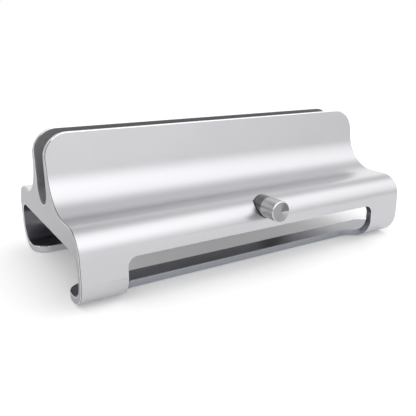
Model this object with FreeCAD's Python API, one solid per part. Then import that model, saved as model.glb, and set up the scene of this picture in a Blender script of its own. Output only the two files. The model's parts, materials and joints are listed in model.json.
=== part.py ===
import FreeCAD, Part
import math
import os

# An aluminium stand that holds a closed laptop on edge. A knob at the front turns a lead screw, which
# moves a padded jaw across the slot. Millimetres. X runs along the slot, +Y to the back, +Z up. The
# origin is on the desk, under the middle of the slot. Heights are above the desk, and "reach" is a
# distance from the slot's middle plane, the same to the front and to the back.

# Stand body
STAND_LENGTH = 229.0
STAND_HEIGHT = 84.6
LEG_SPREAD = 125.4
SLOT_WIDTH = 19.4
SLOT_FLOOR = 42.6
WALL_TIP = 2.5
WALL_LEAN = math.radians(8.0)
WALL_CORNER_RADIUS = 14.0
COVE_RADIUS = 24.0
DECK_HEIGHT = 43.0
SHOULDER_RADIUS = 14.0
LEG_WALL = 4.2
WEB_UNDERSIDE = 30.0
UNDER_FILLET = 8.5
FOOT_BEND_RADIUS = 15.5
FLANGE_WIDTH = 30.2
FLANGE_CORNER_RADIUS = 11.0
EDGE_ROUNDING = 0.4

# Window in each leg, which leaves a rail between the two feet
FOOT_WIDTH = 25.3
WINDOW_TOP = 25.8
WINDOW_TOP_RADIUS = 5.5
WINDOW_PLAN_RADIUS = 9.0
RAIL_WIDTH = 13.3

# Foot pads, glued in shallow recesses
FOOT_LIFT = 0.6
PAD_LENGTH = 38.0
PAD_WIDTH = 8.6
PAD_THICKNESS = 1.4
PAD_EDGE_INSET = 2.4
PAD_END_INSET = 6.5
PAD_CLEARANCE = 0.15

# Lead screw and knob
SCREW_RADIUS = 2.5
JOURNAL_RADIUS = 2.0
JOURNAL_LENGTH = 9.0
THREAD_PITCH = 0.8
KNOB_TURNS = 7
KNOB_RADIUS = 6.2
KNOB_STANDS_OUT = 11.8
KNOB_SEAT_DEPTH = 8.1
KNOB_CHAMFER = 0.5
KNOB_CAP = 3.5
GRUB_RADIUS = 1.5
GRUB_LENGTH = 3.4
GRUB_OUTSIDE = 4.3
HEX_SOCKET_DEPTH = 1.2

# Bushes, washers and clip on the screw
RUNNING_FIT = 0.05
SCREW_BORE_CLEARANCE = 0.5
KNOB_SEAT_CLEARANCE = 0.4
BUSH_WALL = 0.95
BUSH_LENGTH = 12.0
BUSH_FLANGE_THICKNESS = 1.0
BUSH_FLANGE_CLEARANCE = 0.6
THRUST_WASHER_THICKNESS = 0.3
THRUST_WASHER_INSET = 0.7
END_BUSH_WALL = 0.95
END_BUSH_LENGTH = 8.0
JOURNAL_END_ROOM = 1.2
CLIP_WASHER_THICKNESS = 0.5
CLIP_WASHER_CLEARANCE = 0.2
CLIP_THICKNESS = 0.6
CLIP_INSET = 0.3
CLIP_GROOVE_DEPTH = 0.5
CLIP_GROOVE_CLEARANCE = 0.05
CLIP_MOUTH = 3.0
WASHER_HOLE_CLEARANCE = 0.2

# Jaw, its nut and its guide pins
JAW_THICKNESS = 1.5
JAW_REST_GAP = 0.1
JAW_MARGIN = 2.5
JAW_TOP_MARGIN = 2.0
JAW_FLOOR_GAP = 0.7
JAW_CORNER_RADIUS = 2.0
GRIP_THICKNESS = 1.0
GRIP_MARGIN = 1.0
NUT_WIDTH = 18.0
NUT_LENGTH = 5.0
NUT_WALL = 1.1
NUT_FLOOR_GAP = 0.4
NUT_SCREW_RADIUS = 1.0
NUT_SCREW_HEAD_RADIUS = 2.0
NUT_SCREW_LENGTH = 5.0
NUT_SCREW_OFFSET = 6.2
TAB_HOLE_CLEARANCE = 0.5
GUIDE_PIN_RADIUS = 1.25
GUIDE_PIN_X = 70.0
GUIDE_PIN_RISE = 2.0
GUIDE_SOCKET_SKIN = 0.85
GUIDE_END_ROOM = 0.3
SLEEVE_WALL = 0.6

# Liners in the slot
LINER_THICKNESS = 1.0
LINER_GLUE = 0.1
LINER_MARGIN = 0.4
LINER_JAW_GAP = 0.6

# Pocket under the slot, and its cover
POCKET_SIDE_ROOM = 2.0
POCKET_REAR_ROOM = 1.5
POCKET_FRONT_ROOM = 6.4
POCKET_TOP_ROOM = 0.8
TAB_SLOT_ROOM = 1.0
COVER_THICKNESS = 1.2
COVER_OVERLAP_X = 11.0
COVER_OVERLAP_Y = 4.0
COVER_CORNER_RADIUS = 3.0
COVER_SCREW_RADIUS = 1.5
COVER_SCREW_LENGTH = 6.0
COVER_SCREW_HEAD_RADIUS = 2.8
COVER_SCREW_HEAD_HEIGHT = 1.6
COVER_SCREW_CLEARANCE = 0.1

# Worked-out places. Reaches, heights and Y positions that several pieces share.
half_length = STAND_LENGTH / 2
leg_reach = LEG_SPREAD / 2
flange_reach = leg_reach - FLANGE_WIDTH
rail_reach = flange_reach + RAIL_WIDTH
slot_reach = SLOT_WIDTH / 2
slot_centre_height = SLOT_FLOOR + slot_reach
liner_reach = slot_reach - LINER_GLUE
wall_tip_reach = slot_reach + WALL_TIP
beyond = 5.0

nut_half_height = SCREW_RADIUS + NUT_WALL
screw_height = SLOT_FLOOR - NUT_FLOOR_GAP - nut_half_height
jaw_travel = THREAD_PITCH * KNOB_TURNS
bush_radius = SCREW_RADIUS + RUNNING_FIT + BUSH_WALL
end_bush_radius = JOURNAL_RADIUS + RUNNING_FIT + END_BUSH_WALL

jaw_front = -slot_reach + JAW_REST_GAP
jaw_rear = jaw_front + JAW_THICKNESS
jaw_half_length = half_length - JAW_MARGIN
jaw_bottom = slot_centre_height - JAW_FLOOR_GAP
jaw_top = STAND_HEIGHT - JAW_TOP_MARGIN
nut_rear = jaw_rear + NUT_LENGTH
guide_height = jaw_bottom + GUIDE_PIN_RISE
sleeve_radius = GUIDE_PIN_RADIUS + RUNNING_FIT + SLEEVE_WALL

pocket_half_width = NUT_WIDTH / 2 + POCKET_SIDE_ROOM
pocket_front = jaw_front - POCKET_FRONT_ROOM
pocket_rear = nut_rear + jaw_travel + POCKET_REAR_ROOM
pocket_top = screw_height + nut_half_height + POCKET_TOP_ROOM

clip_washer_radius = pocket_top - screw_height - CLIP_WASHER_CLEARANCE
clip_radius = clip_washer_radius - CLIP_INSET

knob_seat_floor = -leg_reach + KNOB_SEAT_DEPTH
thrust_front = knob_seat_floor - BUSH_FLANGE_THICKNESS - THRUST_WASHER_THICKNESS
knob_rear = thrust_front - RUNNING_FIT
knob_front = -leg_reach - KNOB_STANDS_OUT
grub_y = knob_front + KNOB_CAP + GRUB_OUTSIDE
screw_front = knob_front + KNOB_CAP
clip_front = pocket_front + CLIP_WASHER_THICKNESS + RUNNING_FIT
end_bore = pocket_rear + END_BUSH_LENGTH + JOURNAL_END_ROOM

V = FreeCAD.Vector

PLANES = {
    "XY": (lambda a, b, depth: V(a, b, depth), V(0, 0, 1)),
    "XZ": (lambda a, b, depth: V(a, depth, b), V(0, 1, 0)),
    "YZ": (lambda a, b, depth: V(depth, a, b), V(1, 0, 0)),
}


def prism(plane, corners, start, stop):
    """A prism across the named plane. Each corner is (a, b, radius), rounded by a tangent arc."""
    place, along = PLANES[plane]
    rounds = []
    for index, (a, b, radius) in enumerate(corners):
        here = V(a, b, 0)
        before = V(*corners[index - 1][:2], 0)
        after = V(*corners[(index + 1) % len(corners)][:2], 0)
        back = (before - here).normalize()
        ahead = (after - here).normalize()
        half_angle = back.getAngle(ahead) / 2
        setback = radius / math.tan(half_angle)
        inward = (back + ahead).normalize() if radius else V()
        middle = here + inward * (radius / math.sin(half_angle) - radius)
        rounds.append([here + back * setback, middle, here + ahead * setback])
    edges = []
    for index, (first, middle, last) in enumerate(rounds):
        previous = rounds[index - 1][2]
        if previous.distanceToPoint(first) > 1e-6:
            edges.append(Part.LineSegment(place(*previous[:2], start), place(*first[:2], start)))
        if first.distanceToPoint(last) > 1e-6:
            edges.append(Part.Arc(*(place(*point[:2], start) for point in (first, middle, last))))
    outline = Part.Wire([edge.toShape() for edge in edges])
    return Part.Face(outline).extrude(along * (stop - start))


def rectangle(low_a, high_a, low_b, high_b, radius=0.0):
    places = [(low_a, low_b), (high_a, low_b), (high_a, high_b), (low_a, high_b)]
    return [(a, b, radius) for a, b in places]


def block(low, high):
    return Part.makeBox(*(b - a for a, b in zip(low, high)), V(*low))


def rod(radius, y_start, y_stop, x=0.0, z=screw_height):
    """A cylinder along Y, by default on the screw's axis."""
    return Part.makeCylinder(radius, y_stop - y_start, V(x, y_start, z), V(0, 1, 0))


def tube(outer, inner, y_start, y_stop, x=0.0, z=screw_height):
    return rod(outer, y_start, y_stop, x, z).cut(rod(inner, y_start, y_stop, x, z))


def cone(radius_start, radius_stop, y_start, y_stop, x, z):
    return Part.makeCone(radius_start, radius_stop, y_stop - y_start, V(x, y_start, z), V(0, 1, 0))


def hexagon(centre_x, centre_y, radius):
    angles = [math.radians(60 * corner) for corner in range(6)]
    return [(centre_x + radius * math.cos(t), centre_y + radius * math.sin(t), 0.0) for t in angles]


def pad_outline(side_x, side_y, clearance):
    """The oblong of one foot pad, grown by a clearance."""
    half_long = PAD_LENGTH / 2 + clearance
    half_wide = PAD_WIDTH / 2 + clearance
    x = side_x * (half_length - PAD_END_INSET - PAD_LENGTH / 2)
    y = side_y * (flange_reach + PAD_EDGE_INSET + PAD_WIDTH / 2)
    return rectangle(x - half_long, x + half_long, y - half_wide, y + half_wide, half_wide)


def wall_reach(height):
    """How far out the cove's surface is at a height, which sets how deep a socket in the wall can go."""
    centre_height = DECK_HEIGHT + COVE_RADIUS
    lean_drop = (STAND_HEIGHT - centre_height) * math.sin(WALL_LEAN)
    centre_reach = wall_tip_reach + (COVE_RADIUS + lean_drop) / math.cos(WALL_LEAN)
    return centre_reach - math.sqrt(COVE_RADIUS**2 - (centre_height - height) ** 2)


guide_socket_end = GUIDE_SOCKET_SKIN - wall_reach(guide_height + sleeve_radius)


def stand_profile():
    """The extruded section: slot, wall, cove, deck, shoulder, leg and foot flange, then its mirror."""
    cove_reach = wall_tip_reach + (STAND_HEIGHT - DECK_HEIGHT) * math.tan(WALL_LEAN)
    flange_top = FOOT_LIFT + LEG_WALL
    leg_inside = leg_reach - LEG_WALL
    rear_half = [
        (slot_reach, SLOT_FLOOR, slot_reach),
        (slot_reach, STAND_HEIGHT, EDGE_ROUNDING),
        (wall_tip_reach, STAND_HEIGHT, EDGE_ROUNDING),
        (cove_reach, DECK_HEIGHT, COVE_RADIUS),
        (leg_reach, DECK_HEIGHT, SHOULDER_RADIUS),
        (leg_reach, FOOT_LIFT, FOOT_BEND_RADIUS),
        (flange_reach, FOOT_LIFT, EDGE_ROUNDING),
        (flange_reach, flange_top, EDGE_ROUNDING),
        (leg_inside, flange_top, FOOT_BEND_RADIUS - LEG_WALL),
        (leg_inside, WEB_UNDERSIDE, UNDER_FILLET),
    ]
    front_half = [(-reach, height, radius) for reach, height, radius in reversed(rear_half)]
    return rear_half + front_half


def end_view_mask():
    """The front elevation, which rounds the top corners of both walls."""
    corners = [
        (-half_length, 0.0, 0.0),
        (half_length, 0.0, 0.0),
        (half_length, STAND_HEIGHT, WALL_CORNER_RADIUS),
        (-half_length, STAND_HEIGHT, WALL_CORNER_RADIUS),
    ]
    return prism("XZ", corners, -leg_reach - beyond, leg_reach + beyond)


def flange_corner_cutter(side):
    """What rounds the two inner corners of one foot flange, seen from above."""
    inner = side * (flange_reach - beyond)
    outer = side * (flange_reach + FLANGE_CORNER_RADIUS)
    top = FOOT_LIFT + LEG_WALL + EDGE_ROUNDING
    low_y, high_y = sorted((inner, outer))
    around = block((-half_length - beyond, low_y, 0.0), (half_length + beyond, high_y, top))
    kept = [
        (-half_length, side * flange_reach, FLANGE_CORNER_RADIUS),
        (half_length, side * flange_reach, FLANGE_CORNER_RADIUS),
        (half_length, side * (flange_reach + 2 * FLANGE_CORNER_RADIUS), 0.0),
        (-half_length, side * (flange_reach + 2 * FLANGE_CORNER_RADIUS), 0.0),
    ]
    return around.cut(prism("XY", kept, 0.0, top + beyond))


def window_cutter(side):
    """The window of one leg: round top corners from the front, round rail ends from above."""
    half_window = half_length - FOOT_WIDTH
    inner = side * rail_reach
    outer = side * (leg_reach + beyond)
    elevation = [
        (-half_window, 0.0, 0.0),
        (half_window, 0.0, 0.0),
        (half_window, WINDOW_TOP, WINDOW_TOP_RADIUS),
        (-half_window, WINDOW_TOP, WINDOW_TOP_RADIUS),
    ]
    plan = [
        (-half_window, inner, WINDOW_PLAN_RADIUS),
        (half_window, inner, WINDOW_PLAN_RADIUS),
        (half_window, outer, 0.0),
        (-half_window, outer, 0.0),
    ]
    return prism("XZ", elevation, inner, outer).common(prism("XY", plan, 0.0, WINDOW_TOP))


def screw_bores():
    """The stepped bore for the knob, the front bush, the screw and the end bush, all from the front."""
    seat = rod(KNOB_RADIUS + KNOB_SEAT_CLEARANCE, -leg_reach - beyond, knob_seat_floor)
    bush = rod(bush_radius, knob_seat_floor, knob_seat_floor + BUSH_LENGTH)
    screw_bore = rod(SCREW_RADIUS + SCREW_BORE_CLEARANCE, knob_seat_floor, pocket_front)
    return seat.fuse([bush, screw_bore, rod(end_bush_radius, pocket_rear, end_bore)])


def nut_pocket():
    """The pocket milled from below, and the opening that the jaw's tab slides in."""
    pocket = block(
        (-pocket_half_width, pocket_front, WEB_UNDERSIDE - beyond),
        (pocket_half_width, pocket_rear, pocket_top),
    )
    tab_slot = block(
        (-pocket_half_width, -slot_reach, screw_height),
        (pocket_half_width, jaw_rear + jaw_travel + TAB_SLOT_ROOM, slot_centre_height),
    )
    return pocket.fuse(tab_slot)


def cover_screw_places():
    offset = pocket_half_width + COVER_OVERLAP_X / 2
    middle = (pocket_front + pocket_rear) / 2
    return [(-offset, middle), (offset, middle)]


def stand_body():
    body = prism("YZ", stand_profile(), -half_length, half_length).common(end_view_mask())
    cutters = [screw_bores(), nut_pocket()]
    for side in (-1, 1):
        cutters += [flange_corner_cutter(side), window_cutter(side)]
        for end in (-1, 1):
            recess = pad_outline(end, side, PAD_CLEARANCE)
            cutters.append(prism("XY", recess, 0.0, PAD_THICKNESS))
    for side in (-1, 1):
        x = side * GUIDE_PIN_X
        cutters.append(rod(sleeve_radius, guide_socket_end, jaw_front, x, guide_height))
    for x, y in cover_screw_places():
        base = V(x, y, WEB_UNDERSIDE - beyond)
        cutters.append(Part.makeCylinder(COVER_SCREW_RADIUS, beyond + COVER_SCREW_LENGTH, base))
    return body.cut(cutters).removeSplitter()


def rear_grip_liner():
    corners = [
        (-half_length + LINER_MARGIN, slot_centre_height, 0.0),
        (half_length - LINER_MARGIN, slot_centre_height, 0.0),
        (half_length - LINER_MARGIN, STAND_HEIGHT - LINER_MARGIN, WALL_CORNER_RADIUS - LINER_MARGIN),
        (-half_length + LINER_MARGIN, STAND_HEIGHT - LINER_MARGIN, WALL_CORNER_RADIUS - LINER_MARGIN),
    ]
    return prism("XZ", corners, liner_reach - LINER_THICKNESS, liner_reach)


def slot_floor_liner():
    """A trough of constant thickness. Its front lip stops below the jaw, and the jaw's tab passes it."""
    start = V(-half_length + LINER_MARGIN, 0, slot_centre_height)
    length = STAND_LENGTH - 2 * LINER_MARGIN
    outer = Part.makeCylinder(liner_reach, length, start, V(1, 0, 0))
    inner = Part.makeCylinder(liner_reach - LINER_THICKNESS, length, start, V(1, 0, 0))
    far = half_length + beyond
    above = block((-far, -slot_reach, slot_centre_height), (far, slot_reach, STAND_HEIGHT))
    front_lip = block((-far, -slot_reach, jaw_bottom - LINER_JAW_GAP), (far, 0.0, STAND_HEIGHT))
    tab_gap = block(
        (-pocket_half_width, -slot_reach, 0.0),
        (pocket_half_width, jaw_rear + jaw_travel + TAB_SLOT_ROOM, STAND_HEIGHT),
    )
    return outer.cut([inner, above, front_lip, tab_gap])


def jaw_plate():
    """The moving jaw: a plate as long as the slot, with a tab that reaches down to the nut."""
    tab = NUT_WIDTH / 2
    tab_bottom = screw_height - nut_half_height
    corners = [
        (-jaw_half_length, jaw_bottom, JAW_CORNER_RADIUS),
        (-tab, jaw_bottom, JAW_CORNER_RADIUS),
        (-tab, tab_bottom, EDGE_ROUNDING),
        (tab, tab_bottom, EDGE_ROUNDING),
        (tab, jaw_bottom, JAW_CORNER_RADIUS),
        (jaw_half_length, jaw_bottom, JAW_CORNER_RADIUS),
        (jaw_half_length, jaw_top, WALL_CORNER_RADIUS - JAW_TOP_MARGIN),
        (-jaw_half_length, jaw_top, WALL_CORNER_RADIUS - JAW_TOP_MARGIN),
    ]
    plate = prism("XZ", corners, jaw_front, jaw_rear)
    holes = [rod(SCREW_RADIUS + TAB_HOLE_CLEARANCE, jaw_front, jaw_rear)]
    for side in (-1, 1):
        holes.append(rod(GUIDE_PIN_RADIUS, jaw_front, jaw_rear, side * GUIDE_PIN_X, guide_height))
        holes.append(nut_screw(side * NUT_SCREW_OFFSET))
    return plate.cut(holes)


def jaw_grip_pad():
    side = jaw_half_length - GRIP_MARGIN
    corner = WALL_CORNER_RADIUS - JAW_TOP_MARGIN - GRIP_MARGIN
    corners = [
        (-side, jaw_bottom + GRIP_MARGIN, GRIP_MARGIN),
        (side, jaw_bottom + GRIP_MARGIN, GRIP_MARGIN),
        (side, jaw_top - GRIP_MARGIN, corner),
        (-side, jaw_top - GRIP_MARGIN, corner),
    ]
    return prism("XZ", corners, jaw_rear, jaw_rear + GRIP_THICKNESS)


def nut_screw(x):
    """One countersunk screw, from the tab's front face into the nut."""
    head_end = jaw_front + NUT_SCREW_HEAD_RADIUS - NUT_SCREW_RADIUS
    head = cone(NUT_SCREW_HEAD_RADIUS, NUT_SCREW_RADIUS, jaw_front, head_end, x, screw_height)
    return head.fuse(rod(NUT_SCREW_RADIUS, jaw_front, jaw_front + NUT_SCREW_LENGTH, x))


def jaw_nut():
    corners = rectangle(
        -NUT_WIDTH / 2,
        NUT_WIDTH / 2,
        screw_height - nut_half_height,
        screw_height + nut_half_height,
        EDGE_ROUNDING,
    )
    nut = prism("XZ", corners, jaw_rear, nut_rear)
    holes = [rod(SCREW_RADIUS + RUNNING_FIT, jaw_rear, nut_rear)]
    return nut.cut(holes + [nut_screw(side * NUT_SCREW_OFFSET) for side in (-1, 1)])


def jaw_nut_screws():
    return Part.makeCompound([nut_screw(side * NUT_SCREW_OFFSET) for side in (-1, 1)])


def guide_pins():
    """Two pins pressed in the jaw, which slide in sleeves in the front wall."""
    tip = guide_socket_end + GUIDE_END_ROOM
    places = (-GUIDE_PIN_X, GUIDE_PIN_X)
    return Part.makeCompound([rod(GUIDE_PIN_RADIUS, tip, jaw_rear, x, guide_height) for x in places])


def guide_sleeves():
    bore = GUIDE_PIN_RADIUS + RUNNING_FIT
    sleeves = []
    for x in (-GUIDE_PIN_X, GUIDE_PIN_X):
        sleeves.append(tube(sleeve_radius, bore, guide_socket_end, -slot_reach, x, guide_height))
    return Part.makeCompound(sleeves)


def lead_screw():
    """The screw, with a groove for the clip and a thinner journal at its far end."""
    thread_end = pocket_rear - RUNNING_FIT
    journal_end = thread_end + JOURNAL_LENGTH
    screw = rod(SCREW_RADIUS, screw_front, thread_end).fuse(rod(JOURNAL_RADIUS, thread_end, journal_end))
    groove_front = clip_front - CLIP_GROOVE_CLEARANCE
    groove_rear = clip_front + CLIP_THICKNESS + CLIP_GROOVE_CLEARANCE
    groove_floor = SCREW_RADIUS - CLIP_GROOVE_DEPTH
    return screw.cut(tube(SCREW_RADIUS + beyond, groove_floor, groove_front, groove_rear))


def knob():
    """A plain turned knob, chamfered at both ends, with a blind bore for the screw."""
    body_end = knob_front + KNOB_CHAMFER
    turned = cone(KNOB_RADIUS - KNOB_CHAMFER, KNOB_RADIUS, knob_front, body_end, 0.0, screw_height)
    turned = turned.fuse(rod(KNOB_RADIUS, body_end, knob_rear)).removeSplitter()
    grub_hole = Part.makeCylinder(GRUB_RADIUS, KNOB_RADIUS, V(0, grub_y, screw_height), V(0, 0, -1))
    return turned.cut([rod(SCREW_RADIUS, screw_front, knob_rear), grub_hole])


def knob_grub_screw():
    """A set screw that pins the knob on the lead screw. It faces down at rest."""
    inner = screw_height - SCREW_RADIUS
    outer = inner - GRUB_LENGTH
    grub = Part.makeCylinder(GRUB_RADIUS, GRUB_LENGTH, V(0, grub_y, outer))
    socket = prism("XY", hexagon(0.0, grub_y, GRUB_RADIUS / 2), outer, outer + HEX_SOCKET_DEPTH)
    screw_side = rod(SCREW_RADIUS, grub_y - beyond, grub_y + beyond)
    return grub.cut([socket, screw_side])


def screw_bush():
    bore = SCREW_RADIUS + RUNNING_FIT
    flange_radius = KNOB_RADIUS + KNOB_SEAT_CLEARANCE - BUSH_FLANGE_CLEARANCE
    flange = tube(flange_radius, bore, knob_seat_floor - BUSH_FLANGE_THICKNESS, knob_seat_floor)
    sleeve = tube(bush_radius, bore, knob_seat_floor, knob_seat_floor + BUSH_LENGTH)
    return flange.fuse(sleeve).removeSplitter()


def thrust_washer():
    hole = SCREW_RADIUS + WASHER_HOLE_CLEARANCE
    return tube(KNOB_RADIUS - THRUST_WASHER_INSET, hole, thrust_front, thrust_front + THRUST_WASHER_THICKNESS)


def clip_washer():
    hole = SCREW_RADIUS + WASHER_HOLE_CLEARANCE
    return tube(clip_washer_radius, hole, pocket_front, pocket_front + CLIP_WASHER_THICKNESS)


def retaining_clip():
    """A clip with an open mouth, pushed up on the groove from below."""
    clip = tube(clip_radius, SCREW_RADIUS - CLIP_GROOVE_DEPTH, clip_front, clip_front + CLIP_THICKNESS)
    mouth = block(
        (-CLIP_MOUTH / 2, clip_front, screw_height - clip_radius),
        (CLIP_MOUTH / 2, clip_front + CLIP_THICKNESS, screw_height),
    )
    return clip.cut(mouth)


def end_bush():
    return tube(end_bush_radius, JOURNAL_RADIUS + RUNNING_FIT, pocket_rear, pocket_rear + END_BUSH_LENGTH)


def pocket_cover():
    """The plate that closes the pocket from below."""
    outline = rectangle(
        -pocket_half_width - COVER_OVERLAP_X,
        pocket_half_width + COVER_OVERLAP_X,
        pocket_front - COVER_OVERLAP_Y,
        pocket_rear + COVER_OVERLAP_Y,
        COVER_CORNER_RADIUS,
    )
    plate = prism("XY", outline, WEB_UNDERSIDE - COVER_THICKNESS, WEB_UNDERSIDE)
    hole_radius = COVER_SCREW_RADIUS + COVER_SCREW_CLEARANCE
    base = WEB_UNDERSIDE - COVER_THICKNESS
    holes = [Part.makeCylinder(hole_radius, COVER_THICKNESS, V(x, y, base)) for x, y in cover_screw_places()]
    return plate.cut(holes)


def cover_screws():
    """Two socket screws that hold the cover."""
    cover_face = WEB_UNDERSIDE - COVER_THICKNESS
    head_face = cover_face - COVER_SCREW_HEAD_HEIGHT
    screws = []
    for x, y in cover_screw_places():
        head = Part.makeCylinder(COVER_SCREW_HEAD_RADIUS, COVER_SCREW_HEAD_HEIGHT, V(x, y, head_face))
        shank_length = COVER_THICKNESS + COVER_SCREW_LENGTH
        shank = Part.makeCylinder(COVER_SCREW_RADIUS, shank_length, V(x, y, cover_face))
        opening = hexagon(x, y, COVER_SCREW_HEAD_RADIUS / 2)
        socket = prism("XY", opening, head_face, head_face + HEX_SOCKET_DEPTH)
        screws.append(head.fuse(shank).cut(socket))
    return Part.makeCompound(screws)


def foot_pad(side_x, side_y):
    return prism("XY", pad_outline(side_x, side_y, 0.0), 0.0, PAD_THICKNESS)


NODES = {
    "stand_body": stand_body,
    "rear_grip_liner": rear_grip_liner,
    "slot_floor_liner": slot_floor_liner,
    "jaw_plate": jaw_plate,
    "jaw_grip_pad": jaw_grip_pad,
    "jaw_nut": jaw_nut,
    "jaw_nut_screws": jaw_nut_screws,
    "guide_pins": guide_pins,
    "guide_sleeves": guide_sleeves,
    "lead_screw": lead_screw,
    "knob": knob,
    "knob_grub_screw": knob_grub_screw,
    "screw_bush": screw_bush,
    "thrust_washer": thrust_washer,
    "clip_washer": clip_washer,
    "retaining_clip": retaining_clip,
    "end_bush": end_bush,
    "pocket_cover": pocket_cover,
    "cover_screws": cover_screws,
    "foot_pad_front_left": lambda: foot_pad(-1, -1),
    "foot_pad_front_right": lambda: foot_pad(1, -1),
    "foot_pad_rear_left": lambda: foot_pad(-1, 1),
    "foot_pad_rear_right": lambda: foot_pad(1, 1),
}

os.makedirs("parts", exist_ok=True)
for name, make in NODES.items():
    shape = make()
    shape.exportStep(f"parts/{name}.step")
    print(f"{name}: {len(shape.Solids)} solids, {shape.Volume:.1f} mm3, valid {shape.isValid()}")
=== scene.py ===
import json
import math

import bmesh
import bpy
from mathutils import Matrix, Vector


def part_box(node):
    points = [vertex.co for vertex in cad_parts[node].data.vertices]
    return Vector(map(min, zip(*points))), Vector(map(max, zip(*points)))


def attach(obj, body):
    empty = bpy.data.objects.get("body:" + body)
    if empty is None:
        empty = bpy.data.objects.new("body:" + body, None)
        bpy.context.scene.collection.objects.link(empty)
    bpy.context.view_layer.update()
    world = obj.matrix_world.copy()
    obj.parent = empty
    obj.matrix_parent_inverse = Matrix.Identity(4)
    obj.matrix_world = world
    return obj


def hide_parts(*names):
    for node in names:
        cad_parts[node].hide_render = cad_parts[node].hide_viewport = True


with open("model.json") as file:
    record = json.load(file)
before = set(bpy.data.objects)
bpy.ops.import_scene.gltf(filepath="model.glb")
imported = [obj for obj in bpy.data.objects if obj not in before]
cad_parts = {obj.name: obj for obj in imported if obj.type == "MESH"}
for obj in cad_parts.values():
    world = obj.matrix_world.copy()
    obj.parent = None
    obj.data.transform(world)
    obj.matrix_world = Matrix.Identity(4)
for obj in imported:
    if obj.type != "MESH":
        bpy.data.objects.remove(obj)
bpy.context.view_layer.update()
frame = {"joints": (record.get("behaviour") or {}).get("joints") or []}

MM = 0.001

# --- Stand body ----------------------------------------------------------------------------------
# One length of thick aluminium extrusion: two walls with a slot between them, a hollow cove and a flat
# deck on each side, and legs that curl under into flanges. It is sawn to length and blasted with fine
# beads. Then its windows are milled, its edges are broken by hand, and it is anodised.

stand_low, stand_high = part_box("stand_body")
half_length, leg_reach, stand_top = stand_high
flange_bottom = stand_low.z

SLOT_REACH = 9.7 * MM
SLOT_FLOOR = 42.6 * MM
WALL_TIP = 2.5 * MM
WALL_LEAN = math.radians(8.0)
WALL_CORNER = 14.0 * MM
COVE_RADIUS = 24.0 * MM
DECK_HEIGHT = 43.0 * MM
SHOULDER_RADIUS = 14.0 * MM
LEG_WALL = 4.2 * MM
WEB_UNDERSIDE = 30.0 * MM
UNDER_FILLET = 8.5 * MM
FOOT_BEND = 15.5 * MM
FLANGE_WIDTH = 30.2 * MM
FLANGE_CORNER = 11.0 * MM
FOOT_WIDTH = 25.3 * MM
WINDOW_TOP = 25.8 * MM
WINDOW_TOP_RADIUS = 5.5 * MM
WINDOW_PLAN_RADIUS = 9.0 * MM
RAIL_WIDTH = 13.3 * MM
EDGE_BREAK = 0.45 * MM
WINDOW_EDGE = 0.35
ARC_STEP = math.radians(3.0)
SHARP = math.radians(32.0)
PAST = 5.0 * MM
SLIVER = 0.02 * MM
SAME_PLACE = 0.001 * MM
NO_LENGTH = 0.0001 * MM
ROUND = 64
SMALL_ROUND = 32
END_FACING = 0.99
SHADED_FACING = (0.25, 0.6)
BLASTED, RUBBED_HIGHLIGHT, UNBLASTED_SHADED, SAWN_SHADED, MILLED_SHADED, SHADED = range(6)

slot_centre = SLOT_FLOOR + SLOT_REACH
flange_reach = leg_reach - FLANGE_WIDTH
rail_reach = flange_reach + RAIL_WIDTH


class Socket:
    """A node's output that plain arithmetic can be written on."""

    def __init__(self, graph, socket):
        self.graph = graph
        self.socket = socket

    def __add__(self, other):
        return self.graph.maths("ADD", self, other)

    def __sub__(self, other):
        return self.graph.maths("SUBTRACT", self, other)

    def __rsub__(self, other):
        return self.graph.maths("SUBTRACT", other, self)

    def __mul__(self, other):
        return self.graph.maths("MULTIPLY", self, other)

    def __gt__(self, other):
        return self.graph.maths("GREATER_THAN", self, other)

    __radd__ = __add__
    __rmul__ = __mul__


class Graph:
    """A node tree of any kind, written from Python."""

    def __init__(self, tree):
        self.tree = tree

    def node(self, kind, settings=None, inputs=None, output=0):
        made = self.tree.nodes.new(kind)
        for key, value in (settings or {}).items():
            setattr(made, key, value)
        for key, value in (inputs or {}).items():
            self.feed(made.inputs[key], value)
        return Socket(self, made.outputs[output]) if len(made.outputs) else made

    def maths(self, operation, first, second):
        return self.node("ShaderNodeMath", {"operation": operation}, {0: first, 1: second})

    def split(self, vector):
        """A vector's three parts."""
        parts = self.tree.nodes.new("ShaderNodeSeparateXYZ")
        self.feed(parts.inputs[0], vector)
        return [Socket(self, part) for part in parts.outputs]

    def between(self, value, start, stop, amount=1.0):
        """A smooth step from nothing, at the start, to an amount, at the stop."""
        limits = {0: value, 1: start, 2: stop, 4: amount}
        return self.node("ShaderNodeMapRange", {"interpolation_type": "SMOOTHSTEP"}, limits)

    def feed(self, socket, value):
        for each in value if isinstance(value, list) else [value]:
            if isinstance(each, Socket):
                self.tree.links.new(each.socket, socket)
            else:
                socket.default_value = (*each, 1.0) if socket.type == "RGBA" else each


class Finish(Graph):
    """A material: one Principled shader, with Object coordinates ready in place."""

    def __init__(self, name, **constants):
        self.material = bpy.data.materials.new(name)
        self.material.use_nodes = True
        super().__init__(self.material.node_tree)
        self.shader = self.tree.nodes["Principled BSDF"]
        self.place = self.node("ShaderNodeTexCoord", output="Object")
        self.set(**constants)

    def set(self, **values):
        for name, value in values.items():
            self.feed(self.shader.inputs[name.replace("_", " ")], value)

    def noise(self, size, detail=2.0, vector=None):
        """Noise from 0 to 1, with blotches of about the given size."""
        inputs = {"Vector": vector or self.place, "Scale": 1.0 / size, "Detail": detail}
        return self.node("ShaderNodeTexNoise", {}, inputs)

    def stretched(self, scale):
        """Object coordinates squeezed by a scale along each axis, for drawn-out marks."""
        return self.node("ShaderNodeMapping", {}, {"Vector": self.place, "Scale": scale})

    def mix(self, amount, first, second):
        """From the first colour to the second, as the amount goes from 0 to 1."""
        return self.node("ShaderNodeMix", {"data_type": "RGBA"}, {0: amount, 6: first, 7: second}, 2)

    def bump(self, height, distance, strength=1.0):
        inputs = {"Height": height, "Distance": distance, "Strength": strength}
        self.set(Normal=self.node("ShaderNodeBump", {}, inputs))


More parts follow.
